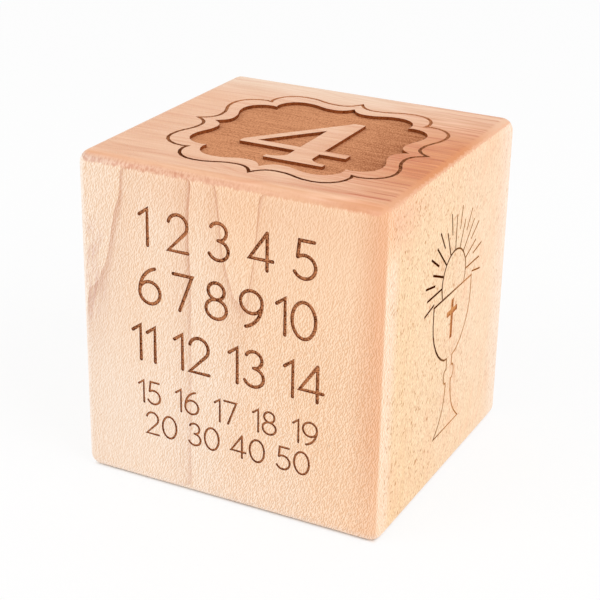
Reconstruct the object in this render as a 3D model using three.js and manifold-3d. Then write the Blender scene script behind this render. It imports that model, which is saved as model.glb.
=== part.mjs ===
// Keepsake block: one solid piece of maple with softly rounded edges, its faces engraved by burning.
// The top carries a sunk label panel inside a pointed border line, and the right side a chalice emblem.
// The wood is a single piece. The crust that burning leaves is a material of its own, so every burnt
// mark is a thin solid that lies on the floor of its cut.
// Millimetres. X runs along the front, Y into the depth, Z up along the grain. The origin is the middle
// of the base, and the front looks towards -Y.
import * as THREE from "three";
import { RoundedBoxGeometry } from "three/addons/geometries/RoundedBoxGeometry.js";
import { mergeVertices } from "three/addons/utils/BufferGeometryUtils.js";
import Module from "manifold-3d";

const wasm = await Module();
wasm.setup();

// Block
const blockWidth = 63.5;
const blockDepth = 60.8;
const blockHeight = 65.7;
const edgeRadius = 2.5;
const edgeFacets = 5;

// Burnt crust on the floor of each cut, and its clearance to the walls and to other crust
const panelCrust = 0.2;
const lineCrust = 0.12;
const crustClearance = 0.05;

// Label on the top: its margins run from the points of the border to where the edges begin to round
const labelOffsetX = 1.8;
const labelOffsetY = -1.45;
const labelMarginX = 3.2;
const labelMarginY = 2.75;
const labelBand = 3.65;
const borderLineWidth = 0.66;
const borderLineDepth = 0.3;
const panelDepth = 0.65;

// Emblem on the right side
const emblemOffset = 0.7;
const emblemLift = 0.3;
const emblemLineWidth = 0.4;
const emblemLineDepth = 0.25;
const chaliceHeight = 29.1;
const rimWidth = 18.6;
const bowlHeight = 13.7;
const bowlStraight = 3.6;
const stemWidth = 2.6;
const neckLength = 2.2;
const knopHeight = 3;
const knopWidth = 5;
const footWidth = 12.4;
const crossHeight = 8.1;
const crossWidth = 5.2;
const crossBarWidth = 1.15;
const crossBelowRim = 1.6;
const crossArmDrop = 2.5;
const hostRadius = 5.8;
const hostRise = 2.6;
const rayPitchDegrees = 11.25;
const raysBelowLevel = 1;
const longRay = 7.1;
const shortRay = 5.7;
const looseRayGap = 3.7;
const looseRay = 4.6;

// Fineness of the curves
const outlineSteps = 5;
const chaliceSteps = 7;
const hostSteps = 30;
const mitreLimit = 2.4;
const overcut = 1;

// Flat shapes

function leftNormal(from, to) {
  return new THREE.Vector2(from.y - to.y, to.x - from.x).normalize();
}

// Points beside a line of points, a set distance to its left, with mitred corners
function offsetPoints(points, distance, closed) {
  const count = points.length;
  const normals = points.map((point, i) => leftNormal(point, points[(i + 1) % count]));
  return points.map((point, i) => {
    const leaving = closed || i < count - 1 ? normals[i] : normals[i - 1];
    const arriving = closed || i > 0 ? normals[(i + count - 1) % count] : leaving;
    const mitre = arriving.clone().add(leaving).normalize();
    const stretch = Math.min(1 / mitre.dot(leaving), mitreLimit);
    return point.clone().addScaledVector(mitre, distance * stretch);
  });
}

// A closed line of set width: its outer outline, with the inner one as a hole
function closedStroke(points, width) {
  const shape = new THREE.Shape(offsetPoints(points, -width / 2, true));
  shape.holes.push(new THREE.Path(offsetPoints(points, width / 2, true)));
  return shape;
}

// An open line of set width with square ends
function openStroke(points, width) {
  const left = offsetPoints(points, width / 2, false);
  const right = offsetPoints(points, -width / 2, false);
  return new THREE.Shape([...right, ...left.reverse()]);
}

// The right half of an outline, from the bottom up, closed by its mirror image
function mirrored(right) {
  const left = right.map((point) => new THREE.Vector2(-point.x, point.y));
  return [...right, ...left.reverse()];
}

// Solids

function plate(shape, thickness) {
  return new THREE.ExtrudeGeometry(shape, { depth: thickness, bevelEnabled: false });
}

function solidOf(geometry) {
  const bare = geometry.clone();
  bare.deleteAttribute("normal");
  bare.deleteAttribute("uv");
  const merged = mergeVertices(bare);
  return new wasm.Manifold(
    new wasm.Mesh({
      numProp: 3,
      vertProperties: merged.attributes.position.array,
      triVerts: new Uint32Array(merged.index.array),
    }),
  );
}

function geometryOf(solid) {
  const { vertProperties, triVerts } = solid.getMesh();
  const geometry = new THREE.BufferGeometry();
  geometry.setAttribute("position", new THREE.BufferAttribute(vertProperties, 3));
  geometry.setIndex(new THREE.BufferAttribute(triVerts, 1));
  geometry.computeVertexNormals();
  return geometry;
}

// Finishes

const maple = new THREE.MeshStandardMaterial({ color: 0xf0cda6, roughness: 0.55, metalness: 0 });
const scorched = new THREE.MeshStandardMaterial({ color: 0xb9825b, roughness: 0.8, metalness: 0 });
const charred = new THREE.MeshStandardMaterial({ color: 0x6e3d22, roughness: 0.85, metalness: 0 });

// Engraved faces: each group lies in its face, with its z axis pointing out of the wood

const topFace = new THREE.Group();
topFace.position.set(labelOffsetX, labelOffsetY, blockHeight);

const rayEnd = hostRadius + looseRayGap + looseRay;
const emblemHeight = chaliceHeight + hostRise + rayEnd;

const rightFace = new THREE.Group();
rightFace.position.set(blockWidth / 2, emblemOffset, (blockHeight - emblemHeight) / 2 + emblemLift);
rightFace.setRotationFromMatrix(
  new THREE.Matrix4().makeBasis(
    new THREE.Vector3(0, 1, 0),
    new THREE.Vector3(0, 0, 1),
    new THREE.Vector3(1, 0, 0),
  ),
);

// Cuts a pattern into a face and lays the crust on the floor of the cut. A pattern returns its shape
// drawn in by a clearance.
const cutters = [];

function engrave(face, name, pattern, { depth, crust, material }) {
  const sunk = depth + crust;
  const cutter = plate(pattern(0), sunk + overcut);
  cutter.translate(0, 0, -sunk);
  face.updateMatrix();
  cutters.push(solidOf(cutter.applyMatrix4(face.matrix)));
  const mark = new THREE.Mesh(plate(pattern(crustClearance), crust), material);
  mark.name = name;
  mark.position.z = -sunk;
  face.add(mark);
}

// Label: a bracket outline with a point on each side and two lobes to each corner. An eighth of it is
// drawn with a reach of 1 from the centre to a point, then mirrored and turned.

const pointDip = new THREE.Vector2(0.06, 0.88);
const shoulder = new THREE.Vector2(0.163, 0.881);
const lobeTop = new THREE.Vector2(0.495, 0.957);
const lobeSide = new THREE.Vector2(0.706, 0.74);
const notch = new THREE.Vector2(0.694, 0.694);
const lobeFullness = 0.56;

function labelEighth() {
  const middle = (shoulder.x + lobeTop.x) / 2;
  const fullX = lobeTop.x + (lobeSide.x - lobeTop.x) * lobeFullness;
  const fullY = lobeSide.y + (lobeTop.y - lobeSide.y) * lobeFullness;
  const path = new THREE.Path();
  path.moveTo(0, 1);
  path.quadraticCurveTo(pointDip.x, pointDip.y, shoulder.x, shoulder.y);
  path.bezierCurveTo(middle, shoulder.y, middle, lobeTop.y, lobeTop.x, lobeTop.y);
  path.bezierCurveTo(fullX, lobeTop.y, lobeSide.x, fullY, lobeSide.x, lobeSide.y);
  path.lineTo(notch.x, notch.y);
  return path.getPoints(outlineSteps);
}

function labelOutline(reachX, reachY) {
  const eighth = labelEighth();
  const across = eighth.map((point) => new THREE.Vector2(point.y, point.x)).reverse();
  const quarter = [...eighth, ...across.slice(1, -1)];
  const centre = new THREE.Vector2();
  const reach = new THREE.Vector2(reachX, reachY);
  const outline = [0, 1, 2, 3].flatMap((side) =>
    quarter.map((point) => point.clone().rotateAround(centre, (-side * Math.PI) / 2).multiply(reach)),
  );
  return outline.reverse();
}

const borderReachX = blockWidth / 2 - Math.abs(labelOffsetX) - edgeRadius - labelMarginX;
const borderReachY = blockDepth / 2 - Math.abs(labelOffsetY) - edgeRadius - labelMarginY;
const borderOutline = labelOutline(borderReachX, borderReachY);
const panelOutline = labelOutline(borderReachX - labelBand, borderReachY - labelBand);

engrave(
  topFace,
  "top_panel_char",
  (inset) => new THREE.Shape(offsetPoints(panelOutline, inset, true)),
  { depth: panelDepth, crust: panelCrust, material: scorched },
);
engrave(
  topFace,
  "top_border_char",
  (inset) => closedStroke(borderOutline, borderLineWidth - 2 * inset),
  { depth: borderLineDepth, crust: lineCrust, material: charred },
);

// Emblem: a chalice with a cross on its bowl, and the host rising from it in rays. Its foot stands on
// the x axis of its face.

const lineCut = { depth: emblemLineDepth, crust: lineCrust, material: charred };

function chaliceHalf() {
  const bowlBottom = chaliceHeight - bowlHeight;
  const bowlTurn = chaliceHeight - bowlStraight;
  const knopTop = bowlBottom - neckLength;
  const knopBottom = knopTop - knopHeight;
  const knopMiddle = (knopTop + knopBottom) / 2;
  const path = new THREE.Path();
  path.moveTo(footWidth / 2, 0);
  path.bezierCurveTo(
    footWidth / 4, knopBottom / 4,
    stemWidth / 2, knopBottom / 2,
    stemWidth / 2, knopBottom,
  );
  path.quadraticCurveTo(knopWidth / 2, knopBottom, knopWidth / 2, knopMiddle);
  path.quadraticCurveTo(knopWidth / 2, knopTop, stemWidth / 2, knopTop);
  path.lineTo(stemWidth / 2, bowlBottom);
  path.bezierCurveTo(
    rimWidth / 4, bowlBottom,
    rimWidth / 2, (bowlBottom + bowlTurn) / 2,
    rimWidth / 2, bowlTurn,
  );
  path.lineTo(rimWidth / 2, chaliceHeight);
  return path.getPoints(chaliceSteps);
}

function chaliceStroke(inset) {
  return closedStroke(mirrored(chaliceHalf()), emblemLineWidth - 2 * inset);
}

function crossShape(inset) {
  const half = crossBarWidth / 2 - inset;
  const reach = crossWidth / 2 - inset;
  const top = chaliceHeight - crossBelowRim;
  const arm = top - crossArmDrop;
  return new THREE.Shape(
    mirrored([
      new THREE.Vector2(half, top - crossHeight + inset),
      new THREE.Vector2(half, arm - half),
      new THREE.Vector2(reach, arm - half),
      new THREE.Vector2(reach, arm + half),
      new THREE.Vector2(half, arm + half),
      new THREE.Vector2(half, top - inset),
    ]),
  );
}

// The cuts of the host and of the rays on it run into the cuts that they start from. The crust in them
// stops short of the crust there.
function hostStroke(inset) {
  const stopShort = inset > 0 ? emblemLineWidth + inset : 0;
  const start = Math.asin((stopShort - hostRise) / hostRadius);
  const centreHeight = chaliceHeight + hostRise;
  const arc = new THREE.EllipseCurve(0, centreHeight, hostRadius, hostRadius, start, Math.PI - start);
  return openStroke(arc.getPoints(hostSteps), emblemLineWidth - 2 * inset);
}

function rayStroke(step, inset) {
  const loose = step % 2 !== 0;
  const joinedStart = hostRadius + (inset > 0 ? emblemLineWidth / 2 + inset : 0);
  const joinedEnd = hostRadius + (step % 4 === 0 ? longRay : shortRay);
  const start = loose ? hostRadius + looseRayGap + inset : joinedStart;
  const end = loose ? rayEnd : joinedEnd;
  const angle = THREE.MathUtils.degToRad(step * rayPitchDegrees);
  const along = new THREE.Vector2(Math.cos(angle), Math.sin(angle));
  const centre = new THREE.Vector2(0, chaliceHeight + hostRise);
  const points = [start, end - inset].map((radius) => centre.clone().addScaledVector(along, radius));
  return openStroke(points, emblemLineWidth - 2 * inset);
}

engrave(rightFace, "chalice_char", chaliceStroke, lineCut);
engrave(rightFace, "cross_char", crossShape, lineCut);
engrave(rightFace, "host_char", hostStroke, lineCut);

const lastRay = Math.round(180 / rayPitchDegrees) + raysBelowLevel;
for (let step = -raysBelowLevel; step <= lastRay; step++) {
  const number = String(step + raysBelowLevel + 1).padStart(2, "0");
  engrave(rightFace, `ray_${number}_char`, (inset) => rayStroke(step, inset), lineCut);
}

// The block, with every cut taken out of it

const blank = new RoundedBoxGeometry(blockWidth, blockDepth, blockHeight, edgeFacets, edgeRadius);
blank.translate(0, 0, blockHeight / 2);
const carved = cutters.reduce((wood, cutter) => wood.subtract(cutter), solidOf(blank));
const block = new THREE.Mesh(geometryOf(carved), maple);
block.name = "maple_block";

const keepsakeBlock = new THREE.Group();
keepsakeBlock.add(block, topFace, rightFace);

export default keepsakeBlock;
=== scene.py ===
import math
import bmesh
import bpy
from mathutils import Matrix, Vector
from types import SimpleNamespace


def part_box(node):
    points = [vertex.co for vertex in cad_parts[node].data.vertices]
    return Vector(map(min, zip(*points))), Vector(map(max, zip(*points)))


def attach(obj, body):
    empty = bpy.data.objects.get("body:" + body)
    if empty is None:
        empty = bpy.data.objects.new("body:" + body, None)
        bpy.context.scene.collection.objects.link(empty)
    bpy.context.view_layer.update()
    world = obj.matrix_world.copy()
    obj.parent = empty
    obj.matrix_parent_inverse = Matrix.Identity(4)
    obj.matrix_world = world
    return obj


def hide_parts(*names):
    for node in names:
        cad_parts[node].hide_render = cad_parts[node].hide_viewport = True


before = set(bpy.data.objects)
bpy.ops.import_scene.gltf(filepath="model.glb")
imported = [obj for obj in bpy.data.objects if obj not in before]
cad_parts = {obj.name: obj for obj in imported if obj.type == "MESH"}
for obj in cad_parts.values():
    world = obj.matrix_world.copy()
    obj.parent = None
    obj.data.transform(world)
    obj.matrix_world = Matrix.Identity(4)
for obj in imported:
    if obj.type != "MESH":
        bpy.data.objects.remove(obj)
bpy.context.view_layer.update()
scene = bpy.context.scene
mm = 0.001
tiny = 1e-6     # places nearer to each other than this are one
facesIt = 0.9   # a face whose normal reaches this far along an axis looks that way
blockLow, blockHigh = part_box("maple_block")
print("frame loaded:", len(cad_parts), "solids")


# camera, at the photograph's viewing angle
viewpoint = {
    "aim": (0.11, -0.73, 31.25),   # mm
    "distance": 313.7,             # mm
    "azimuth": 26.75,              # degrees round from the front, towards the emblem side
    "elevation": 23.7,
    "roll": 1.04,
    "lens": 94.83,                 # mm
    "sensor": 36,                  # mm
    "nearest": 0.01,               # m
}


def placeCamera(view):
    azimuth, elevation = math.radians(view["azimuth"]), math.radians(view["elevation"])
    back = Vector((math.sin(azimuth) * math.cos(elevation), -math.cos(azimuth) * math.cos(elevation),
                   math.sin(elevation)))
    level = Vector((0, 0, 1)).cross(back).normalized()
    right = Matrix.Rotation(math.radians(view["roll"]), 3, back) @ level
    up = back.cross(right)
    data = bpy.data.cameras.new("camera")
    data.sensor_width = view["sensor"]
    data.lens = view["lens"]
    data.clip_start = view["nearest"]
    camera = bpy.data.objects.new("camera", data)
    turn = Matrix((right, up, back)).transposed().to_4x4()
    camera.matrix_world = Matrix.Translation((Vector(view["aim"]) + back * view["distance"]) * mm) @ turn
    scene.collection.objects.link(camera)
    scene.camera = camera


placeCamera(viewpoint)
scene.view_settings.view_transform = "Standard"
print("camera placed")


# short hands for building node trees
def feed(tree, socket, value):
    if isinstance(value, bpy.types.NodeSocket):
        tree.links.new(value, socket)
    elif value is not None:
        socket.default_value = value


def calc(tree, operation, *values):
    node = tree.nodes.new("ShaderNodeMath")
    node.operation = operation
    for socket, value in zip(node.inputs, values):
        feed(tree, socket, value)
    return node.outputs[0]


def times(tree, first, *others):
    for other in others:
        first = calc(tree, "MULTIPLY", first, other)
    return first


def addScaled(tree, value, share, base):
    return calc(tree, "MULTIPLY_ADD", value, share, base)


def rest(tree, share):
    return calc(tree, "SUBTRACT", 1.0, share)


def swing(tree, value):
    # noise about zero
    return calc(tree, "SUBTRACT", value, 0.5)


def either(tree, share, first, second):
    return calc(tree, "ADD", times(tree, second, share), times(tree, first, rest(tree, share)))


def fade(tree, value, start, end, low=0.0, high=1.0):
    # smoothly from low, where the value is start, to high, where it is end
    node = tree.nodes.new("ShaderNodeMapRange")
    node.interpolation_type = "SMOOTHSTEP"
    for name, item in (("Value", value), ("From Min", start), ("From Max", end),
                       ("To Min", low), ("To Max", high)):
        feed(tree, node.inputs[name], item)
    return node.outputs["Result"]


def noise(tree, place, size, detail=2.0, roughness=0.5):
    # size is the grain in mm along each axis
    squeeze = tree.nodes.new("ShaderNodeVectorMath")
    squeeze.operation = "MULTIPLY"
    feed(tree, squeeze.inputs[0], place)
    squeeze.inputs[1].default_value = [1 / step for step in size]
    node = tree.nodes.new("ShaderNodeTexNoise")
    tree.links.new(squeeze.outputs[0], node.inputs["Vector"])
    node.inputs["Scale"].default_value = 1.0
    node.inputs["Detail"].default_value = detail
    node.inputs["Roughness"].default_value = roughness
    return node.outputs["Fac"]


def dashes(tree, place, width, length, way=(1.0, 0.7, 0.0)):
    # upright dashes, width from crest to crest along the way
    node = tree.nodes.new("ShaderNodeTexGabor")
    node.gabor_type = "3D"
    feed(tree, node.inputs["Vector"], place)
    node.inputs["Scale"].default_value = 1 / length
    node.inputs["Frequency"].default_value = length / width
    node.inputs["Anisotropy"].default_value = 1.0
    node.inputs["Orientation 3D"].default_value = way
    return node.outputs["Value"]


def blend(tree, factor, first, second, mode="MIX"):
    node = tree.nodes.new("ShaderNodeMix")
    node.data_type = "RGBA"
    node.blend_type = mode
    feed(tree, node.inputs[0], factor)
    feed(tree, node.inputs[6], first)
    feed(tree, node.inputs[7], second)
    return node.outputs[2]


def tint(tree, factor, colour, shade):
    return blend(tree, factor, colour, blend(tree, 1.0, colour, shade, "MULTIPLY"))


def profile(tree, value, reach, points):
    # a drawn curve: points are (mm across, height)
    top = math.ceil(max(height for x, height in points))
    across = calc(tree, "DIVIDE", value, reach)
    node = tree.nodes.new("ShaderNodeFloatCurve")
    tree.links.new(across, node.inputs["Value"])
    curve = node.mapping.curves[0]
    while len(curve.points) < len(points):
        curve.points.new(0.5, 0.5)
    for dot, (x, height) in zip(curve.points, points):
        dot.location = (x / reach, height / top)
    node.mapping.update()
    return calc(tree, "MULTIPLY", node.outputs[0], top)


def tone(red, green, blue):
    # screen colour 0 to 255 into the shader's linear colour
    def bright(level):
        level /= 255
        return level / 12.92 if level <= 0.04045 else ((level + 0.055) / 1.055) ** 2.4
    return (bright(red), bright(green), bright(blue), 1.0)


def newGroup(name, inputs, outputs):
    group = bpy.data.node_groups.new(name, "ShaderNodeTree")
    for label, kind, value in inputs:
        socket = group.interface.new_socket(name=label, in_out="INPUT", socket_type="NodeSocket" + kind)
        socket.default_value = value
    for label, kind in outputs:
        group.interface.new_socket(name=label, in_out="OUTPUT", socket_type="NodeSocket" + kind)
    start = group.nodes.new("NodeGroupInput")
    end = group.nodes.new("NodeGroupOutput")
    return group, start.outputs, end.inputs


def useGroup(tree, group, **values):
    node = tree.nodes.new("ShaderNodeGroup")
    node.node_tree = group
    for label, value in values.items():
        feed(tree, node.inputs[label], value)
    return node.outputs


def newMaterial(name):
    material = bpy.data.materials.new(name)
    material.use_nodes = True
    tree = material.node_tree
    return material, tree, tree.nodes["Principled BSDF"].inputs


def millimetres(tree):
    place = tree.nodes.new("ShaderNodeTexCoord")
    scale = tree.nodes.new("ShaderNodeVectorMath")
    scale.operation = "SCALE"
    tree.links.new(place.outputs["Object"], scale.inputs[0])
    scale.inputs["Scale"].default_value = 1 / mm
    return scale.outputs[0]


def facing(tree):
    return tree.nodes.new("ShaderNodeTexCoord").outputs["Normal"]


def axes(tree, vector):
    node = tree.nodes.new("ShaderNodeSeparateXYZ")
    tree.links.new(vector, node.inputs[0])
    return node.outputs


def spot(tree, x, y, z):
    node = tree.nodes.new("ShaderNodeCombineXYZ")
    for socket, value in zip(node.inputs, (x, y, z)):
        feed(tree, socket, value)
    return node.outputs[0]


# maple as a solid wood: grain upright, rings lying along the front, rays running front to back
# ranges below are from, to and, where given, the amounts at both; sizes and places are in mm
tones = {
    "flat": tone(248, 210, 175),        # front and back, towards the emblem side
    "flatPale": tone(246, 224, 203),    # front and back, towards the plain side
    "quarter": tone(249, 216, 173),     # the two sides
    "quarterPale": tone(251, 223, 191),
    "blush": tone(250, 207, 168),       # soft patches on the two sides
    "smear": tone(250, 204, 166),       # leaning streaks there, towards the back
    "strand": tone(241, 199, 144),      # upright streaks there, low down
    "end": tone(250, 205, 173),         # top and base
    "endWarm": tone(229, 150, 96),
    "lip": tone(249, 192, 156),         # where the top rounds over to the sides
    "frontEdge": tone(246, 206, 182),   # where it rounds over to the front
    "frontCorner": tone(240, 216, 204),
    "stitch": tone(228, 200, 190),      # torn fibres there
    "greyStreak": tone(224, 186, 168),       # grey streaks at the plain side's end of the front
    "edge": tone(238, 183, 143),        # painted shade on the front, next to its rounded upright edge; also the front's darker band along the top
    "edgePale": tone(254, 231, 210),    # painted highlight just round that edge; also the top's paler part towards the back
    "palest": tone(255, 238, 222),        # painted light on the rounded edges along the base and the plain side; also the sides' paler part next to the back
    "ring": tone(200, 146, 122),        # late wood, at the edge of each ring
    "ringEnd": tone(214, 142, 96),      # the same on top
    "fleck": tone(216, 180, 142),
    "dipGrainAndShade": (0.89, 0.78, 0.67, 1.0),     # shares of the colour in the fine ripples: their grain, with painted shade in the dips and painted highlight on the crests
    "crestGrainAndHighlight": (1.09, 1.15, 1.23, 1.0),
    "sawDipGrainAndShade": (0.90, 0.84, 0.76, 1.0),  # the same in the saw lines of the end grain
    "sawCrestGrainAndHighlight": (1.05, 1.10, 1.16, 1.0),
}
plainSideWay = (-0.7, -0.95)   # wayX, from none of the plain side to all of it


def blockPlace(group):
    # across runs from the left of the front, depth from the front and down from the top, in mm;
    # wayX is how far the surface faces the emblem side, flank either side and up the top
    size = (blockHigh - blockLow) / mm
    place = millimetres(group)
    x, y, z = axes(group, place)
    ways = axes(group, facing(group))
    return SimpleNamespace(
        size=size, place=place, x=x, y=y, z=z,
        across=calc(group, "ADD", x, size.x / 2), depth=calc(group, "ADD", y, size.y / 2),
        down=calc(group, "SUBTRACT", size.z, z), wayX=ways[0], up=ways[2],
        flank=calc(group, "ABSOLUTE", ways[0]), plainSide=fade(group, ways[0], *plainSideWay))


def leaning(group, at, leanX, leanY):
    # the place, pushed sideways with its height
    x = addScaled(group, at.z, leanX, at.x) if leanX else at.x
    y = addScaled(group, at.z, leanY, at.y) if leanY else at.y
    return spot(group, x, y, at.z)


mapleRings = {
    # rings as they reach the front face: height in years across its width
    "shape": ((0, 1.5), (5, 1.3), (9.5, 1.0), (13, 0.68), (17, 0.55), (20.5, 0.72), (24, 1.0),
              (27, 1.55), (29.7, 2.0), (34.5, 2.45), (39.4, 2.0), (45, 1.7), (54, 1.5), (63.5, 1.35)),
    # how much each part of the width falls towards the base, which closes the pointed figures
    "fall": ((0, 0.8), (6, 0.7), (12, 0.25), (16, 0.0), (24, 0.0), (28, 0.5), (32, 1.0), (36, 1.0),
             (40, 0.75), (46, 0.35), (54, 0.2), (63.5, 0.1)),
    "fallPerMm": 0.022,
    "fallMost": 0.95,
    "frontWidth": 3.3,                         # ring width at the front
    "deepWidth": 1.35,                         # ring width further in
    "settle": 12.0,                            # depth over which the one turns into the other
    "firstYear": 0.805,
    "thickness": ((200, 3.2, 200), 1.0, 1.1),  # unevenness: size, detail and years
    "wander": ((9, 9, 30), 2.0, 0.45),
    "tremble": ((2.2, 3.0, 9), 2.0, 0.06),
    "gap": (300, 5, 300),
    "gapYears": (0, 10, 0.0, 2.0),             # by depth
    "weight": (0.0, 1.0, 0.35, 1.4),           # pale and dark years
    "late": (0.4, 1.0),                        # parts of a year
    "line": (0.9, 1.0),
    "deepLine": (0.62, 0.97),
    "yearEnd": (1.0, 0.9),
    "along": (7, 1.6, 30),                     # the line comes and goes along the ring
    "alongWeight": (0.3, 0.7, 0.1, 1.6),
}


def makeYears(group, at, rings):
    # years counted from the front face inwards
    front = profile(group, at.across, at.size.x, rings["shape"])
    fall = calc(group, "MINIMUM", times(group, at.down, rings["fallPerMm"]), rings["fallMost"])
    fall = times(group, fall, profile(group, at.across, at.size.x, rings["fall"]))
    slow, fast = 1 / rings["frontWidth"], 1 / rings["deepWidth"]
    settle = calc(group, "EXPONENT", calc(group, "DIVIDE", at.depth, -rings["settle"]))
    settle = times(group, calc(group, "SUBTRACT", settle, 1.0), rings["settle"] * (fast - slow))
    inward = addScaled(group, at.depth, fast, settle)
    years = calc(group, "ADD", calc(group, "SUBTRACT", front, fall), inward)
    gap = swing(group, noise(group, at.place, rings["gap"], detail=0.0))
    years = addScaled(group, gap, fade(group, at.depth, *rings["gapYears"]), years)
    for size, detail, amount in (rings["thickness"], rings["wander"], rings["tremble"]):
        years = addScaled(group, noise(group, at.place, size, detail), amount, years)
    return calc(group, "SUBTRACT", years, rings["firstYear"])


def makeRings(group, at, rings):
    # late wood, the line at its edge, and that line as the end grain shows it
    years = makeYears(group, at, rings)
    season = calc(group, "FRACT", years)
    each = group.nodes.new("ShaderNodeTexWhiteNoise")
    each.noise_dimensions = "1D"
    feed(group, each.inputs["W"], calc(group, "FLOOR", years))
    weight = fade(group, each.outputs["Value"], *rings["weight"])
    late = times(group, fade(group, season, *rings["late"]), weight)
    line = fade(group, season, *rings["line"])
    along = noise(group, at.place, rings["along"])
    deepLine = times(group, fade(group, season, *rings["deepLine"]), weight,
                     fade(group, season, *rings["yearEnd"]), fade(group, along, *rings["alongWeight"]))
    return late, line, deepLine


mapleRipple = {
    "dash": (0.4, 0.42),            # width and length of the fine dashes
    "lean": -0.2,                   # mm sideways for each mm of height
    "upper": (6, 58, 2.1, 1.1),     # strength across the front, high up
    "lower": (6, 52, 1.2, 4.0),     # and low down
    "upperToLower": (12, 36),       # down
    "flank": (0.3, 0.9),
    "flankStrength": 1.8,           # on the two sides
    "plain": (-0.1, -0.6),
    "plainStrength": 0.6,           # on the plain one of them
    "back": (24, 50, 1.0, 0.45),    # depth
}


def makeRipple(group, at, ripple):
    # fine upright ripple all over
    dash = dashes(group, leaning(group, at, ripple["lean"], 0), *ripple["dash"])
    upper = fade(group, at.across, *ripple["upper"])
    lower = fade(group, at.across, *ripple["lower"])
    strength = fade(group, at.down, *ripple["upperToLower"], upper, lower)
    strength = fade(group, at.flank, *ripple["flank"], strength, ripple["flankStrength"])
    strength = fade(group, at.wayX, *ripple["plain"], strength, ripple["plainStrength"])
    strength = times(group, strength, fade(group, at.depth, *ripple["back"]))
    return addScaled(group, swing(group, dash), strength, 0.5)


mapleFlecks = {
    "lean": (-0.36, -0.35),           # mm sideways for each mm of height
    "spindle": (0.5, 0.45, 1.15),
    "crowd": (7, 9, 12),              # denser and thinner patches
    "crowdWeight": 0.16,
    "edge": (0.70, 0.79),             # from wood to fleck
    "flank": (0.93, 1.0),
    "back": (22, 48, 1.0, 0.45),      # depth
    "plain": (0.0, 1.0, 1.0, 0.35),   # fewer on the plain side
}


def makeFlecks(group, at, flecks):
    # rays cut lengthwise: leaning spindles on the two sides
    spindle = noise(group, leaning(group, at, *flecks["lean"]), flecks["spindle"], detail=0.8)
    crowd = noise(group, at.place, flecks["crowd"], detail=1.0)
    fleck = addScaled(group, crowd, flecks["crowdWeight"], spindle)
    return times(group, fade(group, fleck, *flecks["edge"]), fade(group, at.flank, *flecks["flank"]),
                 fade(group, at.depth, *flecks["back"]), fade(group, at.plainSide, *flecks["plain"]))


mapleEnds = {
    "flankPull": -0.45,
    "turn": (0.2, 0.6),        # flank, between the next three pairs
    "torn": (0.5, 0.9),
    "start": (0.25, 0.32),
    "full": (0.47, 0.42),
    "base": (-0.93, -0.99),
}


def makeEnds(group, at, ends, ragged):
    # end grain on top and base, with a ragged border on the rounded edges
    end = addScaled(group, at.flank, ends["flankPull"], at.up)
    torn, start, full = [fade(group, at.flank, *ends["turn"], *ends[name])
                         for name in ("torn", "start", "full")]
    end = addScaled(group, swing(group, ragged), torn, end)
    return calc(group, "MAXIMUM", fade(group, end, start, full), fade(group, at.up, *ends["base"]))


mapleFront = {
    "drift": (-0.2, 0.75),               # from pale to warm, left to right
    "driftPatches": 0.9,
    "driftDown": -0.4,
    "upperDown": (14, 4, 0.0, 0.2),      # darker along the top
    "upperAcross": (8, 20),
    "streak": (0.8, 4, 5),               # leaning grey streaks
    "streakLean": -0.2,
    "streakEdge": (0.38, 0.68),
    "greyStreakDown": ((10, 20), (38, 26)),   # where they start and where they end
    "greyStreakAcross": (8, 2, 0.0, 0.9),
}


def frontColour(group, at, front, patchy):
    drift = calc(group, "DIVIDE", at.across, at.size.x)
    drift = addScaled(group, swing(group, patchy), front["driftPatches"], drift)
    drift = addScaled(group, calc(group, "DIVIDE", at.down, at.size.z), front["driftDown"], drift)
    flat = blend(group, fade(group, drift, *front["drift"]), tones["flatPale"], tones["flat"])
    upper = times(group, fade(group, at.down, *front["upperDown"]),
                  fade(group, at.across, *front["upperAcross"]))
    flat = blend(group, upper, flat, tones["edge"])
    streak = noise(group, leaning(group, at, front["streakLean"], 0), front["streak"])
    greyStreak = times(group, *[fade(group, at.down, *reach) for reach in front["greyStreakDown"]],
                  fade(group, at.across, *front["greyStreakAcross"]), fade(group, streak, *front["streakEdge"]))
    return blend(group, greyStreak, flat, tones["greyStreak"])


mapleSides = {
    "inner": (0.0, 1.0),                  # from warm to pale, front to back
    "innerPatches": 0.8,
    "blush": (7, 6, 8),                   # soft patches
    "blushEdge": (0.48, 0.72, 0.0, 0.5),
    "smear": (4, 1.0, 3.2),               # leaning streaks
    "smearLean": -0.6,
    "smearEdge": (0.5, 0.68),
    "smearDepth": (16, 40, 0.15, 0.5),
    "strand": (1.5, 1.0, 16),             # upright streaks
    "strandEdge": (0.48, 0.66),
    "strandDepth": (28, 8, 0.1, 0.4),
    "strandDown": (15, 45),
    "plainShare": 0.65,                   # plain side, how far it looks like the front
    "edgeHighlightDepth": (6, 1.5, 0.0, 0.6),      # painted highlight just round the front's upright edge
    "edgeHighlightDown": (4, 14),
    "paleBackDepth": (50, 60.5, 0.0, 0.75),   # next to the back
    "lipDown": (13, 3, 0.0, 0.7),         # emblem side, under the top
    "lipDepth": (20, 2, 0.2, 1.0),
    "lipSide": (0.0, 0.5),
}


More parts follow.
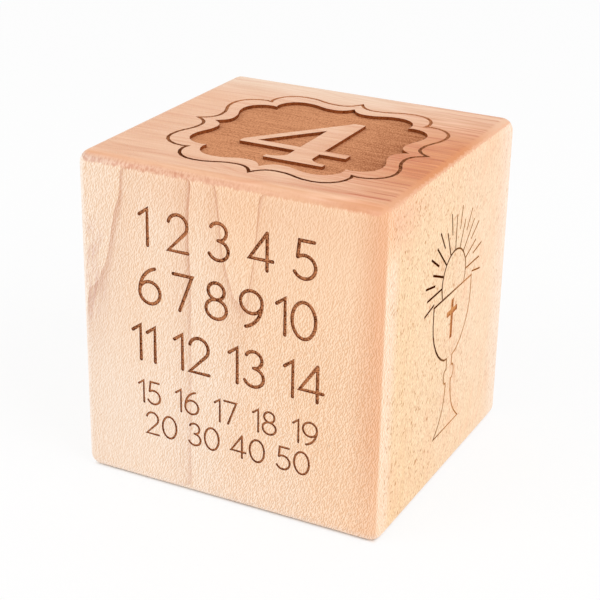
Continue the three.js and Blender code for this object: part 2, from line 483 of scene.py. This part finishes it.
def sideColour(group, at, sides, patchy):
    def by(value, name):
        return fade(group, value, *sides[name])
    inner = calc(group, "DIVIDE", at.depth, at.size.y)
    inner = addScaled(group, swing(group, patchy), sides["innerPatches"], inner)
    quarter = blend(group, by(inner, "inner"), tones["quarter"], tones["quarterPale"])
    blush = noise(group, at.place, sides["blush"])
    quarter = blend(group, by(blush, "blushEdge"), quarter, tones["blush"])
    smear = noise(group, leaning(group, at, 0, sides["smearLean"]), sides["smear"], detail=1.0)
    smear = times(group, by(smear, "smearEdge"), by(at.depth, "smearDepth"))
    quarter = blend(group, smear, quarter, tones["smear"])
    strand = noise(group, at.place, sides["strand"])
    strand = times(group, by(strand, "strandEdge"), by(at.depth, "strandDepth"), by(at.down, "strandDown"))
    quarter = blend(group, strand, quarter, tones["strand"])
    plain = times(group, at.plainSide, sides["plainShare"])
    quarter = blend(group, plain, quarter, tones["flatPale"])
    # painted highlight on the sides just round the front's upright edge
    edgeHighlight = times(group, by(at.depth, "edgeHighlightDepth"), by(at.down, "edgeHighlightDown"))
    quarter = blend(group, edgeHighlight, quarter, tones["edgePale"])
    quarter = blend(group, by(at.depth, "paleBackDepth"), quarter, tones["palest"])
    lip = times(group, by(at.down, "lipDown"), by(at.depth, "lipDepth"), by(at.wayX, "lipSide"))
    return blend(group, lip, quarter, tones["lip"])


mapleTop = {
    "warmDepth": ((0, 28, 0.35, 1.0), (32, 56, 1.0, 0.2)),   # darker end grain
    "warmAcross": (32, 60, 0.0, 0.9),
    "warmPatches": (0.3, 0.7, 0.05, 0.25),
    "faintDepth": (42, 61, 0.0, 0.75),                       # paler towards the back
    "faintAcross": (58, 30, 0.3, 1.0),
    "lipRagged": 0.6,                                        # border towards the sides
    "lipEdge": (0.5, 0.7, 0.0, 0.8),
    "over": (0.92, 0.6),                                     # up, where it rounds over to the front
    "overAcross": (48, 12, 0.15, 1.0),
    "overShare": 0.7,
    "cornerAcross": (12, 2),                                 # paler at the left corner
    "stitchEdge": (0.45, 0.6, 0.0, 0.75),                    # torn fibres
}


def topColour(group, at, top, patchy, ragged):
    def by(value, name):
        return fade(group, value, *top[name])
    warm = times(group, *[fade(group, at.depth, *reach) for reach in top["warmDepth"]],
                 by(at.across, "warmAcross"))
    warm = calc(group, "ADD", warm, by(patchy, "warmPatches"))
    colour = blend(group, warm, tones["end"], tones["endWarm"])
    faint = times(group, by(at.depth, "faintDepth"), by(at.across, "faintAcross"))
    colour = blend(group, faint, colour, tones["edgePale"])
    lip = addScaled(group, swing(group, ragged), top["lipRagged"], at.flank)
    colour = blend(group, by(lip, "lipEdge"), colour, tones["lip"])
    over = times(group, by(at.up, "over"), by(at.across, "overAcross"))
    front = blend(group, by(at.across, "cornerAcross"), tones["frontEdge"], tones["frontCorner"])
    colour = blend(group, times(group, over, top["overShare"]), colour, front)
    return tint(group, times(group, over, by(ragged, "stitchEdge")), colour, tones["stitch"])


mapleEdges = {
    "turn": (0.64, 0.8),            # flank, from the front's wood to the sides'
    "edgeShadeAcross": (55.5, 62.8),   # painted shade: darker band along the front's upright edge
    "edgeShadeDown": (38, 62, 1.0, 0.5),
    "edgeShadePatches": (0.8, 0.5),
    "paintedBaseLight": (0.0, -0.7, 0.0),      # up, painted light round the base
    "paintedBaseLightAcross": (8, 45, 0.9, 0.5),
    "plain": (-0.1, -0.6),          # wayX, painted light on the plain side's rounded edges
    "paintedLightFlank": (0.98, 0.9),       # no further in on the sides
}


def joinSides(group, at, edges, front, sides, patchy):
    # front and sides, with painted shade on the front beside the upright edge between them, and painted light
    # on the rounded edges along the base and the plain side
    turn = fade(group, at.flank, *edges["turn"])
    colour = blend(group, turn, front, sides)
    # painted shade: darker band on the front beside its upright edge, patchy and fainter low down
    edgeShade = times(group, fade(group, at.across, *edges["edgeShadeAcross"]), rest(group, turn),
                   fade(group, at.down, *edges["edgeShadeDown"]),
                   addScaled(group, patchy, *edges["edgeShadePatches"]))
    colour = blend(group, edgeShade, colour, tones["edge"])
    # painted light on the rounded edges along the base, strongest at the plain side's end, and on the plain
    # side's rounded edges
    paintedBaseLight = fade(group, at.up, *edges["paintedBaseLight"], fade(group, at.across, *edges["paintedBaseLightAcross"]))
    palest = calc(group, "MAXIMUM", paintedBaseLight, fade(group, at.wayX, *edges["plain"]))
    palest = times(group, palest, fade(group, at.flank, *edges["paintedLightFlank"]))
    return blend(group, palest, colour, tones["palest"])


mapleFigure = {
    # how dark the late wood is across the front
    "lateShade": ((0, 1.5), (5, 1.1), (9, 0.5), (20, 0.6), (26, 1.7), (33, 2.0), (38, 1.0), (63.5, 0.7)),
    "lateDown": (44, 16, 0.1, 0.16),      # front: late wood and its line
    "lineDown": (30, 4, 0.18, 0.44),
    "ringFlank": (0.2, 0.8, 1.0, 0.25),   # fainter on the sides
    "endLine": 0.2,                       # end grain: ring lines, late wood and broad bands
    "endLate": 0.08,
    "endBand": 0.3,
    "band": (26, 1.7, 80),
    "bandEdge": (0.42, 0.68),
    "endAcross": (36, 58, 0.55, 1.4),
    "level": (0.05, 0.4, 1.0, 0.0),       # flank, end lines fade out on the rounded edges
    "sawn": (9, 0.5, 9),                  # saw lines
    "sawnAcross": (30, 58, 0.5, 1.2),
    "sawnMiddle": 0.42,
    "fine": (0.22, 0.78),                 # from the painted shade of a dip to the painted highlight of a crest
    "patchy": (16, 20, 40),               # broad patches
    "ragged": (0.45, 0.9, 1.1),           # torn fibres
    "fibre": (0.7, 0.7, 14),              # relief
    "fibreHeight": 0.4,
}


def makeGrainGroup(figure):
    group, given, put = newGroup(
        "mapleGrain",
        [("Ring", "Float", 1.0)],
        [("Colour", "Color"), ("Late Wood", "Float"), ("Height", "Float")])
    at = blockPlace(group)
    late, line, deepLine = makeRings(group, at, mapleRings)
    ripple = makeRipple(group, at, mapleRipple)
    fleck = makeFlecks(group, at, mapleFlecks)
    ragged = noise(group, at.place, figure["ragged"], roughness=0.6)
    end = makeEnds(group, at, mapleEnds, ragged)
    patchy = noise(group, at.place, figure["patchy"])

    front = frontColour(group, at, mapleFront, patchy)
    sides = sideColour(group, at, mapleSides, patchy)
    colour = joinSides(group, at, mapleEdges, front, sides, patchy)
    colour = blend(group, end, colour, topColour(group, at, mapleTop, patchy, ragged))

    # rings and flecks
    shade = times(group, fade(group, at.down, *figure["lateDown"]),
                  profile(group, at.across, at.size.x, figure["lateShade"]))
    ringSide = times(group, line, fade(group, at.down, *figure["lineDown"]))
    ringSide = addScaled(group, late, shade, ringSide)
    ringSide = times(group, ringSide, fade(group, at.flank, *figure["ringFlank"]))
    ringEnd = addScaled(group, deepLine, figure["endLine"], times(group, late, figure["endLate"]))
    banding = fade(group, noise(group, at.place, figure["band"]), *figure["bandEdge"])
    ringEnd = addScaled(group, banding, figure["endBand"], ringEnd)
    level = fade(group, at.flank, *figure["level"])
    ringEnd = times(group, ringEnd, fade(group, at.across, *figure["endAcross"]), level)
    ringDepth = times(group, either(group, end, ringSide, ringEnd), given["Ring"])
    colour = tint(group, ringDepth, colour, blend(group, end, tones["ring"], tones["ringEnd"]))
    colour = tint(group, fleck, colour, tones["fleck"])

    # fine ripple on the sides, saw lines on the end grain: grain colour with painted shade in the dips and
    # painted highlight on the crests
    dipGrainAndShade = blend(group, end, tones["dipGrainAndShade"], tones["sawDipGrainAndShade"])
    crestGrainAndHighlight = blend(group, end, tones["crestGrainAndHighlight"], tones["sawCrestGrainAndHighlight"])
    dipGrainAndShade, crestGrainAndHighlight = [blend(group, 1.0, colour, share, "MULTIPLY") for share in (dipGrainAndShade, crestGrainAndHighlight)]
    sawn = swing(group, noise(group, at.place, figure["sawn"], detail=1.0))
    sawn = times(group, sawn, fade(group, at.across, *figure["sawnAcross"]))
    sawn = addScaled(group, sawn, level, figure["sawnMiddle"])
    fine = either(group, end, ripple, sawn)
    colour = blend(group, fade(group, fine, *figure["fine"]), dipGrainAndShade, crestGrainAndHighlight)

    fibre = noise(group, at.place, figure["fibre"], roughness=0.6)
    feed(group, put["Colour"], colour)
    feed(group, put["Late Wood"], late)
    feed(group, put["Height"], addScaled(group, fibre, figure["fibreHeight"], ripple))
    return group


mapleGrain = makeGrainGroup(mapleFigure)


# what the burning beam leaves: a brown floor in fine rows, speckled with soot
burn = {
    "rows": (14, 0.5, 14),             # beam rows run across, 0.5 mm apart
    "rowHeat": 0.55,
    "rowHeight": 0.5,
    "speckle": (0.23, 0.552, 0.23),
    "cloud": (6, 6, 6),
    "cloudHeat": 0.2,
    "lateHeat": -0.08,                 # late wood burns less
    "woodShare": 0.25,                 # how far the wood shows through
}


def makeBurnGroup(values):
    group, given, put = newGroup(
        "burntWood",
        [("Wood", "Color", (1, 1, 1, 1)), ("Late Wood", "Float", 0.0),
         ("Light Burn", "Color", (0.5, 0.2, 0.1, 1)), ("Dark Burn", "Color", (0.1, 0.04, 0.02, 1)),
         ("Heat", "Float", 0.5), ("Speckle", "Float", 0.5)],
        [("Colour", "Color"), ("Height", "Float")])
    place = millimetres(group)
    grit = noise(group, place, values["speckle"], detail=1.0, roughness=0.6)
    cloud = swing(group, noise(group, place, values["cloud"]))
    rows = swing(group, noise(group, place, values["rows"], detail=1.0))
    heat = addScaled(group, swing(group, grit), given["Speckle"], given["Heat"])
    for part, amount in ((cloud, "cloudHeat"), (rows, "rowHeat"), (given["Late Wood"], "lateHeat")):
        heat = addScaled(group, part, values[amount], heat)
    colour = blend(group, fade(group, heat, 0.0, 1.0), given["Light Burn"], given["Dark Burn"])
    feed(group, put["Colour"], tint(group, values["woodShare"], colour, given["Wood"]))
    feed(group, put["Height"], addScaled(group, rows, values["rowHeight"], grit))
    return group


burntWood = makeBurnGroup(burn)


def lift(tree, height, distance, strength):
    node = tree.nodes.new("ShaderNodeBump")
    node.inputs["Distance"].default_value = distance * mm
    node.inputs["Strength"].default_value = strength
    tree.links.new(height, node.inputs["Height"])
    return node.outputs["Normal"]


# roughness is by height: from, to and the amounts at both; relief is in mm and its strength
sandedMaple = {"roughness": (0.4, 1.0, 0.42, 0.56), "gloss": 0.35, "relief": (0.08, 0.6)}
charSurface = {"roughness": (0.3, 0.8, 0.74, 0.9), "gloss": 0.0, "relief": (0.05, 0.7), "ring": 0.6}


def dress(tree, surface, colour, height, finish):
    feed(tree, surface["Base Color"], colour)
    feed(tree, surface["Roughness"], fade(tree, height, *finish["roughness"]))
    surface["Specular IOR Level"].default_value = finish["gloss"]
    feed(tree, surface["Normal"], lift(tree, height, *finish["relief"]))


def makeMaple(finish):
    material, tree, surface = newMaterial("sandedMaple")
    wood = useGroup(tree, mapleGrain)
    dress(tree, surface, wood["Colour"], wood["Height"], finish)
    return material


# falls: where the burn turns fainter, as axis, mm from, mm to and heat lost (below zero is gained)
burntFinishes = {
    "burntPanel": {"light": tone(230, 170, 128), "dark": tone(158, 98, 64), "heat": 0.38, "speckle": 1.3,
                   "falls": [(0, 8, 20, -0.2)]},
    "burntBorder": {"light": tone(216, 156, 112), "dark": tone(100, 42, 6), "heat": 0.6, "speckle": 0.8,
                    "falls": [(1, -6, 22, 0.35), (1, -12, -24, -0.2), (0, -14, -24, 0.1)]},
    "burntWall": {"light": tone(174, 106, 62), "dark": tone(98, 40, 8), "heat": 0.55, "speckle": 0.8},
    "burntNumber": {"light": tone(218, 150, 104), "dark": tone(80, 23, 0), "heat": 0.43, "speckle": 2.5,
                    "falls": [(2, 25, 23, 0.18)]},
    "burntCross": {"light": tone(230, 170, 114), "dark": tone(166, 104, 54), "heat": 0.4, "speckle": 1.4},
    "burntEmblem": {"light": tone(234, 186, 132), "dark": tone(84, 28, 0), "heat": 1.1, "speckle": 0.7,
                    "falls": [(1, -11, 12, 1.05), (2, 30, 21, 0.35)]},
    "burntRay": {"light": tone(200, 138, 76), "dark": tone(74, 24, 0), "heat": 1.1, "speckle": 0.7,
                 "falls": [(1, -9, 12, 0.95), (2, 48.5, 52, 0.25)]},
    "burntEdge": {"light": tone(248, 210, 168), "dark": tone(122, 60, 12), "heat": 0.95, "speckle": 0.8,
                  "falls": [(1, -12, 10, 0.9), (2, 48.5, 52, 0.2), (2, 30, 21, 0.25)]},
}


def makeBurnt(name, finish):
    material, tree, surface = newMaterial(name)
    wood = useGroup(tree, mapleGrain, Ring=charSurface["ring"])
    place = axes(tree, millimetres(tree))
    heat = finish["heat"]
    for axis, start, end, lost in finish.get("falls", ()):
        heat = calc(tree, "SUBTRACT", heat, fade(tree, place[axis], start, end, 0.0, lost))
    char = useGroup(tree, burntWood, Wood=wood["Colour"], Heat=heat, Speckle=finish["speckle"],
                    **{"Late Wood": wood["Late Wood"],
                       "Light Burn": finish["light"], "Dark Burn": finish["dark"]})
    dress(tree, surface, char["Colour"], char["Height"], charSurface)
    return material


maple = makeMaple(sandedMaple)
burnt = {name: makeBurnt(name, finish) for name, finish in burntFinishes.items()}
print("materials made:", 1 + len(burnt))


# rows of plain numbers on the front, drawn as strokes of one width
def bow(cx, cy, rx, ry, start, end, step=9, least=8):
    # arc from one angle to another, in degrees
    count = max(least, round(abs(end - start) / step))
    turns = [math.radians(start + (end - start) * i / count) for i in range(count + 1)]
    return [(cx + rx * math.cos(t), cy + ry * math.sin(t)) for t in turns]


six = [bow(0.31, 0.31, 0.31, 0.31, 0, 360), bow(0.62, 0.31, 0.62, 0.72, 104, 180)]
figures = {   # figure: width and strokes, in cap heights
    "0": (0.66, [bow(0.33, 0.5, 0.33, 0.5, 0, 360)]),
    "1": (0.24, [[(0.0, 0.82), (0.24, 1.0), (0.24, 0.0)]]),
    "2": (0.60, [bow(0.3, 0.71, 0.28, 0.29, 165, -42) + [(0.02, 0.0), (0.60, 0.0)]]),
    "3": (0.57, [bow(0.28, 0.765, 0.24, 0.235, 152, -90), bow(0.28, 0.265, 0.29, 0.265, 90, -154)]),
    "4": (0.66, [[(0.5, 0.0), (0.5, 1.0)], [(0.5, 1.0), (0.0, 0.27), (0.66, 0.27)]]),
    "5": (0.58, [[(0.53, 1.0), (0.13, 1.0), (0.08, 0.56)], bow(0.27, 0.31, 0.31, 0.31, 128, -150)]),
    "6": (0.62, six),
    "7": (0.56, [[(0.0, 1.0), (0.56, 1.0), (0.18, 0.0)]]),
    "8": (0.60, [bow(0.3, 0.77, 0.235, 0.23, 0, 360), bow(0.3, 0.27, 0.3, 0.27, 0, 360)]),
    "9": (0.62, [[(0.62 - x, 1 - y) for x, y in stroke] for stroke in six]),
}
numberRows = {
    "depth": 0.3,          # mm
    "lead": 0.5,           # mm by which the cutters start in front of the block
    "figureGap": 0.2,      # in cap heights
    "rows": (              # words, cap height, foot below the top, length and stroke, all in mm
        ("1 2 3 4 5", 7.1, 15.7, 36.0, 0.7),
        ("6 7 8 9 10", 7.1, 27.3, 36.5, 0.7),
        ("11 12 13 14", 7.1, 39.2, 40.0, 0.7),
        ("15 16 17 18 19", 4.6, 48.2, 38.0, 0.44),
        ("20 30 40 50", 4.6, 54.7, 35.0, 0.44),
    ),
}


def wordLength(word, gap):
    return sum(figures[figure][0] for figure in word) + gap * (len(word) - 1)


def layRow(words, cap, length, gap):
    # strokes of one row about its middle, words spread evenly over its length
    words = words.split()
    lengths = [wordLength(word, gap) * cap for word in words]
    space = (length - sum(lengths)) / (len(words) - 1)
    x = -length / 2
    for word, run in zip(words, lengths):
        start = x
        for figure in word:
            width, strokes = figures[figure]
            yield [[(start + px * cap, py * cap) for px, py in stroke] for stroke in strokes]
            start += (width + gap) * cap
        x += run + space


def sideways(a, b):
    run = Vector((b[0] - a[0], b[1] - a[1])).normalized()
    return Vector((-run.y, run.x))


sharpest = 0.55   # keeps sharp corners from shooting out


def mitre(sides, width):
    # the way out at a corner between two sides
    mean = sum(sides, Vector((0, 0))).normalized()
    return mean * width / max(mean.dot(sides[0]), sharpest)


def ribbon(points, width):
    # outline rings of a stroke: a loop gives two, an open stroke one with round ends
    closed = (Vector(points[0]) - Vector(points[-1])).length < tiny
    if closed:
        points = points[:-1]
    left, right = [], []
    count = len(points)
    for i, point in enumerate(points):
        here = Vector(point)
        before = points[i - 1] if closed or i else None
        after = points[(i + 1) % count] if closed or i < count - 1 else None
        sides = [sideways(before, point)] if before else []
        sides += [sideways(point, after)] if after else []
        out = mitre(sides, width / 2)
        left.append(here + out)
        right.append(here - out)
    if closed:
        return [left, right]

    def cap(centre, first):
        spin = Vector(first) - Vector(centre)
        turns = [Matrix.Rotation(math.radians(-angle), 2) for angle in range(30, 180, 30)]
        return [Vector(centre) + turn @ spin for turn in turns]
    return [left + cap(points[-1], left[-1]) + right[::-1] + cap(points[0], right[0])]


def joinRings(mesh, first, second):
    count = len(first)
    for i in range(count):
        j = (i + 1) % count
        mesh.faces.new((first[i], first[j], second[j], second[i]))


def strokeSolid(mesh, rings, toWorld, low, high):
    # closed prism between two heights over the outline
    layers = []
    for height in (low, high):
        layers.append([[mesh.verts.new(toWorld(p.x, p.y, height)) for p in ring] for ring in rings])
    for lower, upper in zip(*layers):
        joinRings(mesh, lower, upper)
    for layer in layers:
        if len(rings) == 2:
            joinRings(mesh, *layer)
        else:
            edges = [e for e in mesh.edges if all(v in set(layer[0]) for v in e.verts)]
            bmesh.ops.triangle_fill(mesh, edges=edges, use_beauty=True)


def meshObject(name, mesh, solid=True):
    if solid:
        bmesh.ops.recalc_face_normals(mesh, faces=mesh.faces)
    data = bpy.data.meshes.new(name)
    mesh.to_mesh(data)
    mesh.free()
    piece = bpy.data.objects.new(name, data)
    scene.collection.objects.link(piece)
    return piece


def numberCutters(layout):
    # first strokes of all figures in one cutter and second strokes in another, so that none overlap
    cutters = []
    for turn in (0, 1):
        mesh = bmesh.new()
        for words, cap, foot, length, width in layout["rows"]:
            def toWorld(x, y, height):
                return Vector((x, blockLow.y / mm + height, blockHigh.z / mm - foot + y)) * mm
            for strokes in layRow(words, cap, length, layout["figureGap"]):
                if turn < len(strokes):
                    rings = ribbon(strokes[turn], width)
                    strokeSolid(mesh, rings, toWorld, -layout["lead"], layout["depth"])
        cutters.append(meshObject("numberCutter", mesh))
    return cutters


def cutAway(piece, cutter):
    cut = piece.modifiers.new("cut", "BOOLEAN")
    cut.operation = "DIFFERENCE"
    cut.solver = "EXACT"
    cut.object = cutter
    shaped = piece.evaluated_get(bpy.context.evaluated_depsgraph_get())
    data = bpy.data.meshes.new_from_object(shaped)
    piece.modifiers.clear()
    piece.data = data
    bpy.data.objects.remove(cutter)


# the block itself: the solid's own shape, its numbers cut in, and clean rounded shading
blockFinish = {
    "edgeRadius": 2.5,     # mm
    "skin": 0.04,          # mm, deeper faces are burnt
    "outward": 0.7,        # and so are those that face out less than this
    "cutReach": 2.0,       # mm, cuts in a side lie nearer to it than this
    "markSpare": 0.2,      # mm round a mark
    "floorSpare": 0.1,     # mm under the border line's floor
}


def skinPoint(point, radius):
    # depth in mm under the rounded block's surface, and the direction out of it
    half = (blockHigh - blockLow) / mm / 2
    centre = (blockHigh + blockLow) / mm / 2
    local = point / mm - centre
    over = Vector([abs(local[i]) - half[i] + radius for i in range(3)])
    outside = Vector([max(part, 0.0) for part in over])
    depth = radius - outside.length - min(max(over), 0.0)
    if outside.length > tiny:
        out = Vector([math.copysign(outside[i], local[i]) for i in range(3)]).normalized()
    else:
        side = max(range(3), key=lambda i: over[i])
        out = Vector([math.copysign(1.0, local[i]) if i == side else 0.0 for i in range(3)])
    return depth, out


markBoxes = {name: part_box(name) for name in ("cross_char", "chalice_char", "top_border_char")}


def within(place, name, spare):
    # seen from the emblem side
    low, high = markBoxes[name]
    return low.y - spare < place.y < high.y + spare and low.z - spare < place.z < high.z + spare


def cutFinish(data, face, finish):
    # which burn a face inside a cut has
    reach, spare = finish["cutReach"] * mm, finish["markSpare"] * mm
    if face.center.x > blockHigh.x - reach:
        if within(face.center, "cross_char", spare):
            return "burntCross"
        return "burntEmblem" if within(face.center, "chalice_char", spare) else "burntRay"
    if face.center.z > blockHigh.z - reach:
        lowest = min(data.vertices[i].co.z for i in face.vertices)
        borderFloor = markBoxes["top_border_char"][0].z - finish["floorSpare"] * mm
        return "burntBorder" if lowest > borderFloor else "burntWall"
    return "burntNumber" if face.normal.y < -facesIt else "burntWall"


def makeBlock(finish):
    mesh = bmesh.new()
    mesh.from_mesh(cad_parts["maple_block"].data)
    bmesh.ops.remove_doubles(mesh, verts=mesh.verts, dist=tiny)
    block = meshObject("engravedBlock", mesh)
    for cutter in numberCutters(numberRows):
        cutAway(block, cutter)
    data = block.data
    data.materials.clear()
    data.materials.append(maple)
    burns = [name for name in burnt if name not in ("burntPanel", "burntEdge")]
    for name in burns:
        data.materials.append(burnt[name])
    normals = []
    for face in data.polygons:
        corners = [skinPoint(data.vertices[i].co, finish["edgeRadius"]) for i in face.vertices]
        out = skinPoint(face.center, finish["edgeRadius"])[1]
        deepest = max(depth for depth, way in corners)
        onSkin = deepest < finish["skin"] and face.normal.dot(out) > finish["outward"]
        face.material_index = 0 if onSkin else 1 + burns.index(cutFinish(data, face, finish))
        face.use_smooth = True
        normals += [way if onSkin else face.normal.copy() for depth, way in corners]
    data.normals_split_custom_set(normals)
    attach(block, "root")
    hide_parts("maple_block")
    return block


block = makeBlock(blockFinish)
print("block:", len(block.data.polygons), "faces")


# the raised numeral that the beam left standing in the panel
raisedNumeral = {          # all in mm
    "height": 26.0,
    "width": 22.0,
    "middle": (2.6, -3.2),
    "stem": 5.0,
    "stemRight": 16.72,    # from the left tip to the stem's right edge
    "hairline": 1.9,       # slope
    "peak": 2.2,           # flat top of the slope
    "slopeDrop": 0.5,      # its foot below the bar's top
    "foot": 12.0,
    "footEdge": 1.2,
    "bracket": 1.7,        # height of the hollow between foot and stem
    "bar": 2.1,
    "barAt": 6.0,
    "sunk": 0.1,           # into the panel's floor
}


def numeralOutline(shape):
    # a book-face four: outer ring and the counter
    stemRight = shape["stemRight"]
    stemLeft = stemRight - shape["stem"]
    barLow, barHigh = shape["barAt"], shape["barAt"] + shape["bar"]
    top = shape["height"]
    middle = (stemLeft + stemRight) / 2
    footLeft, footRight = middle - shape["foot"] / 2, middle + shape["foot"] / 2

    def curve(x0, x1, rising, steps=6):
        # hollow bracket between the foot's edge and the stem
        run = [i / steps for i in range(steps + 1)]
        points = [(x0 + (x1 - x0) * t, shape["footEdge"] + shape["bracket"] * t ** 3) for t in run]
        return points if rising else points[::-1]
    slopeTop = Vector((stemRight - shape["peak"], top))
    slopeFoot = Vector((0.0, barHigh - shape["slopeDrop"]))
    run = (slopeTop - slopeFoot).normalized()
    inner = slopeFoot + Vector((run.y, -run.x)) * shape["hairline"]
    rise = run.y / run.x
    outer = [(footLeft, 0), (footRight, 0)] + curve(footRight, stemRight, True)
    outer += [(stemRight, barLow), (shape["width"], barLow),
              (shape["width"], barHigh), (stemRight, barHigh), (stemRight, top),
              tuple(slopeTop), tuple(slopeFoot), (0.0, barLow), (stemLeft, barLow)]
    outer += curve(footLeft, stemLeft, False)
    counter = [(inner.x + (barHigh - inner.y) / rise, barHigh), (stemLeft, barHigh),
               (stemLeft, inner.y + (stemLeft - inner.x) * rise)]
    return outer, counter


def makeNumeral(shape):
    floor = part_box("top_panel_char")[1].z
    left, foot = shape["middle"][0] - shape["width"] / 2, shape["middle"][1] - shape["height"] / 2
    mesh = bmesh.new()
    layers = []
    for height in (floor - shape["sunk"] * mm, blockHigh.z):
        rings = [[mesh.verts.new(((x + left) * mm, (y + foot) * mm, height)) for x, y in ring]
                 for ring in numeralOutline(shape)]
        edges = [mesh.edges.new(pair) for ring in rings for pair in zip(ring, ring[1:] + ring[:1])]
        bmesh.ops.triangle_fill(mesh, edges=edges, use_beauty=True)
        layers.append(rings)
    for lower, upper in zip(*layers):
        joinRings(mesh, lower, upper)
    piece = meshObject("raisedNumeral", mesh)
    piece.data.materials.append(maple)
    piece.data.materials.append(burnt["burntWall"])
    for face in piece.data.polygons:
        face.material_index = 0 if face.normal.z > facesIt else 1
    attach(piece, "root")
    return piece


makeNumeral(raisedNumeral)
print("raised numeral made")


# wood browned by the beam on both sides of the emblem's fine lines
scorchedEdges = {
    "width": 0.09,         # mm
    "proud": 0.008,        # mm above the wood
}


def outline(node):
    # border of the mark as seen from the emblem side: edges, and the ways out of it at each corner
    mesh = bmesh.new()
    mesh.from_mesh(node.data)
    bmesh.ops.remove_doubles(mesh, verts=mesh.verts, dist=tiny)
    edges, ways = [], {}
    for edge in mesh.edges:
        tops = [face for face in edge.link_faces if face.normal.x > facesIt]
        if len(tops) != 1:
            continue
        first, second = [vert.co.yz for vert in edge.verts]
        out = sideways(first, second)
        if out.dot((first + second) / 2 - tops[0].calc_center_median().yz) < 0:
            out = -out
        edges.append([(vert.index, vert.co.yz) for vert in edge.verts])
        for vert in edge.verts:
            ways.setdefault(vert.index, []).append(out)
    mesh.free()
    return edges, ways


def makeScorch(values):
    mesh = bmesh.new()
    x = blockHigh.x + values["proud"] * mm
    for name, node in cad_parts.items():
        if not name.startswith(("chalice", "host", "ray")):
            continue
        edges, ways = outline(node)
        for ends in edges:
            inner, outer = [], []
            for index, place in ends:
                inner.append(mesh.verts.new((x, *place)))
                outer.append(mesh.verts.new((x, *(place + mitre(ways[index], values["width"] * mm)))))
            mesh.faces.new((inner[0], inner[1], outer[1], outer[0]))
    for face in mesh.faces:
        face.normal_update()
        if face.normal.x < 0:
            face.normal_flip()
    piece = meshObject("scorchedEdges", mesh, solid=False)
    piece.data.materials.append(burnt["burntEdge"])
    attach(piece, "root")
    return piece


scorch = makeScorch(scorchedEdges)
print("scorched edges:", len(scorch.data.polygons), "faces")


# char on the floors of the cuts keeps its solids; the host and its rays have burntRay
charFinish = {"top_panel_char": "burntPanel", "top_border_char": "burntBorder",
              "cross_char": "burntCross", "chalice_char": "burntEmblem"}
for name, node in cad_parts.items():
    if name == "maple_block":
        continue
    char = burnt[charFinish.get(name, "burntRay")]
    for slot in node.material_slots:
        slot.material = char
print("char marks finished")


# plain white floor, keeps a faint shadow
studio = {
    "floorSize": 3.0,          # m from its middle to a side
    "floorDrop": 0.02,         # mm under the block
    "floorTone": (0.96, 0.96, 0.96, 1),
    "floorRoughness": 0.9,
    "floorShade": 0.15,        # share of the shadow that shows
    "footGap": (-1.8, -0.6),   # mm from the block's outline, where the full shadow ends
    "skyLight": 0.70,
    "lampAim": (0, 0, 0.03),   # m
    "lamps": (                 # name, place in m, size in m, power in W
        ("rightSoftbox", (0.9, -0.25, 0.75), 0.8, 4.8),
        ("leftSoftbox", (-0.7, -0.9, 0.7), 0.9, 4.0),
    ),
}


def seenDirectly(tree):
    path = tree.nodes.new("ShaderNodeLightPath")
    seen = calc(tree, "MAXIMUM", path.outputs["Is Camera Ray"], path.outputs["Is Glossy Ray"])
    return calc(tree, "MAXIMUM", seen, path.outputs["Is Transmission Ray"])


def makeFloor(values):
    mesh = bmesh.new()
    bmesh.ops.create_grid(mesh, x_segments=1, y_segments=1, size=values["floorSize"])
    floor = meshObject("floor", mesh)
    floor.location.z = -values["floorDrop"] * mm
    material, tree, surface = newMaterial("whiteFloor")
    surface["Base Color"].default_value = values["floorTone"]
    surface["Roughness"].default_value = values["floorRoughness"]
    glow = tree.nodes.new("ShaderNodeEmission")
    mix = tree.nodes.new("ShaderNodeMixShader")
    place = axes(tree, millimetres(tree))
    away = calc(tree, "MAXIMUM", *[calc(tree, "SUBTRACT", calc(tree, "ABSOLUTE", place[i]), blockHigh[i] / mm)
                                   for i in (0, 1)])
    clear = fade(tree, away, *values["footGap"], 0.0, 1 - values["floorShade"])
    feed(tree, mix.inputs[0], calc(tree, "MULTIPLY", seenDirectly(tree), clear))
    tree.links.new(tree.nodes["Principled BSDF"].outputs[0], mix.inputs[1])
    tree.links.new(glow.outputs[0], mix.inputs[2])
    tree.links.new(mix.outputs[0], tree.nodes["Material Output"].inputs["Surface"])
    floor.data.materials.append(material)


def makeLight(values):
    world = bpy.data.worlds.new("studio")
    scene.world = world
    world.use_nodes = True
    tree = world.node_tree
    sky = tree.nodes["Background"]
    sky.inputs["Color"].default_value = (1, 1, 1, 1)
    feed(tree, sky.inputs["Strength"], fade(tree, seenDirectly(tree), 0, 1, values["skyLight"], 1.0))
    for name, place, size, power in values["lamps"]:
        data = bpy.data.lights.new(name, "AREA")
        data.size = size
        data.energy = power
        lamp = bpy.data.objects.new(name, data)
        lamp.location = place
        aim = Vector(place) - Vector(values["lampAim"])
        lamp.rotation_euler = aim.to_track_quat("Z", "Y").to_euler()
        scene.collection.objects.link(lamp)


makeFloor(studio)
makeLight(studio)
print("floor and light placed")
